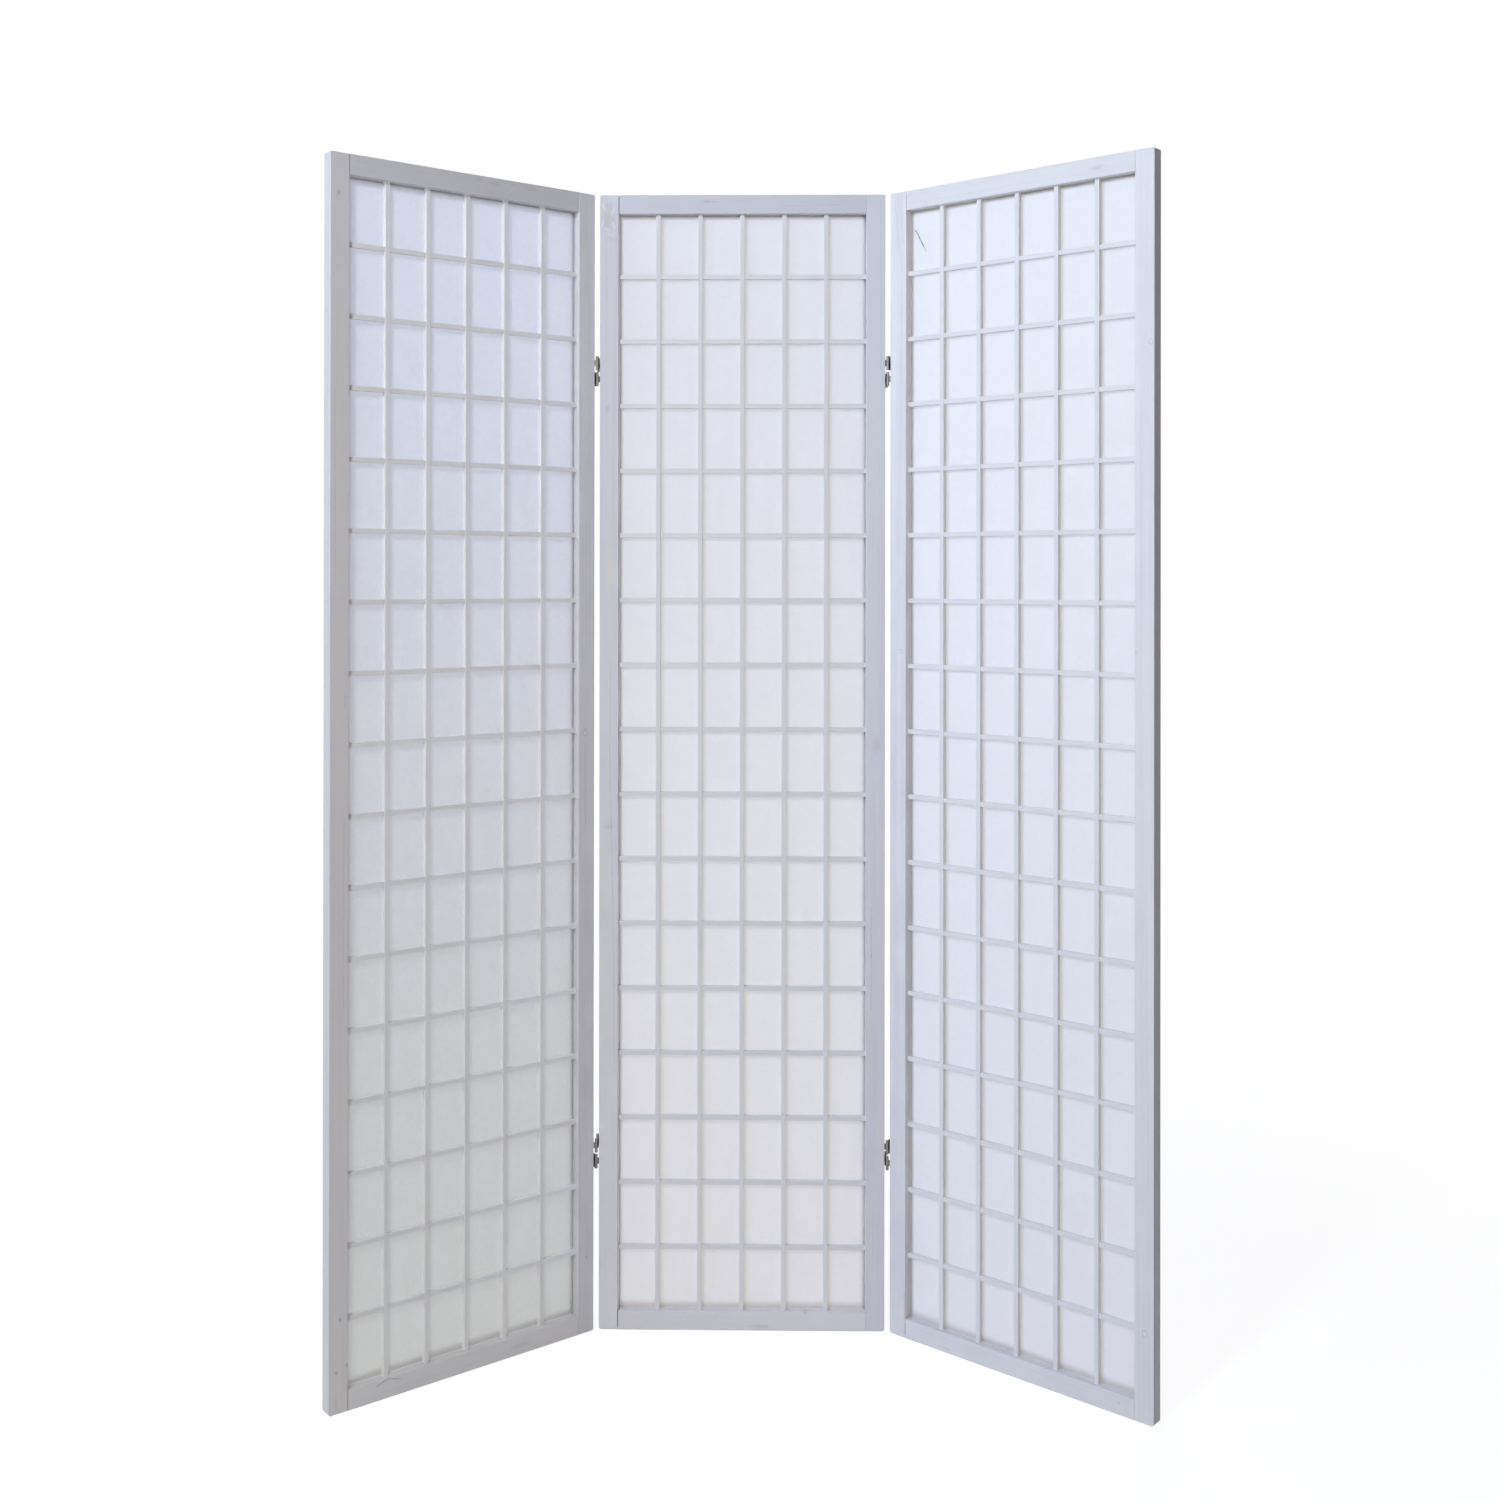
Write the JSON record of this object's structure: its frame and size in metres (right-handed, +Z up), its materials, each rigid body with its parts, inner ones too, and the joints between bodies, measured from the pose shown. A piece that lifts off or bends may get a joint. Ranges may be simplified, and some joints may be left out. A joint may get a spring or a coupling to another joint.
{
  "type": "folding screen",
  "caption": "Folding room screen with hinged wooden panels, each a grid of thin bars backed by translucent paper.",
  "frame": {"origin": "middle of the centre panel's underside, at half its thickness, on the floor", "axes": "+Z up, +X to the viewer's right along the centre panel, +Y from the screen's front to its back"},
  "size_m": [1.1575, 0.31, 1.75],
  "materials": {
    "painted_frame": "thin pale paint on softwood, satin, grain just showing",
    "painted_lattice": "thin pale paint on softwood, satin",
    "painted_batten": "thin pale paint on softwood, satin",
    "paper": "translucent fibrous white paper, matte",
    "hinge_steel": "nickel-plated sheet steel, dulled",
    "screw_steel": "nickel-plated, satin"
  },
  "bodies": {
    "centre_panel": {"centre_battens": "painted_batten", "centre_cross_bars": "painted_lattice", "centre_hinge_pins": "hinge_steel", "centre_hinge_screws": "screw_steel", "centre_paper": "paper", "centre_rail_bottom": "painted_frame", "centre_rail_top": "painted_frame", "centre_stile_left": "painted_frame", "centre_stile_right": "painted_frame", "centre_upright_1": "painted_lattice", "centre_upright_2": "painted_lattice", "centre_upright_3": "painted_lattice", "centre_upright_4": "painted_lattice", "centre_upright_5": "painted_lattice", "left_bottom_hinge_centre_leaf": "hinge_steel", "left_top_hinge_centre_leaf": "hinge_steel", "right_bottom_hinge_centre_leaf": "hinge_steel", "right_top_hinge_centre_leaf": "hinge_steel"},
    "left_carrier_links": {"left_bottom_hinge_carrier_link": "hinge_steel", "left_top_hinge_carrier_link": "hinge_steel"},
    "left_panel": {"left_battens": "painted_batten", "left_bottom_hinge_wing_leaf": "hinge_steel", "left_cross_bars": "painted_lattice", "left_hinge_pins": "hinge_steel", "left_hinge_screws": "screw_steel", "left_paper": "paper", "left_rail_bottom": "painted_frame", "left_rail_top": "painted_frame", "left_stile_left": "painted_frame", "left_stile_right": "painted_frame", "left_top_hinge_wing_leaf": "hinge_steel", "left_upright_1": "painted_lattice", "left_upright_2": "painted_lattice", "left_upright_3": "painted_lattice", "left_upright_4": "painted_lattice", "left_upright_5": "painted_lattice"},
    "left_follower_links": {"left_bottom_hinge_follower_link": "hinge_steel", "left_hinge_stub_pins": "hinge_steel", "left_top_hinge_follower_link": "hinge_steel"},
    "right_carrier_links": {"right_bottom_hinge_carrier_link": "hinge_steel", "right_top_hinge_carrier_link": "hinge_steel"},
    "right_panel": {"right_battens": "painted_batten", "right_bottom_hinge_wing_leaf": "hinge_steel", "right_cross_bars": "painted_lattice", "right_hinge_pins": "hinge_steel", "right_hinge_screws": "screw_steel", "right_paper": "paper", "right_rail_bottom": "painted_frame", "right_rail_top": "painted_frame", "right_stile_left": "painted_frame", "right_stile_right": "painted_frame", "right_top_hinge_wing_leaf": "hinge_steel", "right_upright_1": "painted_lattice", "right_upright_2": "painted_lattice", "right_upright_3": "painted_lattice", "right_upright_4": "painted_lattice", "right_upright_5": "painted_lattice"},
    "right_follower_links": {"right_bottom_hinge_follower_link": "hinge_steel", "right_hinge_stub_pins": "hinge_steel", "right_top_hinge_follower_link": "hinge_steel"}
  },
  "joints": [
    {"name": "left_back_fold", "type": "hinge", "parent": "centre_panel", "child": "left_carrier_links", "pos_m": [-0.224, 0.01075, 0.875], "axis": [0, 0, -1], "range_deg": [0, 90]},
    {"name": "left_front_fold", "type": "hinge", "parent": "left_carrier_links", "child": "left_panel", "pos_m": [-0.224, -0.01075, 0.875], "axis": [0, 0, 1], "range_deg": [-39, 141]},
    {"name": "left_follower_fold", "type": "hinge", "parent": "centre_panel", "child": "left_follower_links", "pos_m": [-0.224, -0.01075, 0.875], "axis": [0, 0, 1], "range_deg": [-39, 141]},
    {"name": "right_back_fold", "type": "hinge", "parent": "centre_panel", "child": "right_carrier_links", "pos_m": [0.224, 0.01075, 0.875], "axis": [0, 0, 1], "range_deg": [0, 180]},
    {"name": "right_front_fold", "type": "hinge", "parent": "right_carrier_links", "child": "right_panel", "pos_m": [0.224, -0.01075, 0.875], "axis": [0, 0, -1], "range_deg": [-40.3, 49.7]},
    {"name": "right_follower_fold", "type": "hinge", "parent": "centre_panel", "child": "right_follower_links", "pos_m": [0.224, -0.01075, 0.875], "axis": [0, 0, -1], "range_deg": [-40.3, 49.7]}
  ],
  "couplings": [
    {"joint": "left_follower_fold", "follows": "left_front_fold", "ratio": 1},
    {"joint": "right_follower_fold", "follows": "right_front_fold", "ratio": 1}
  ]
}
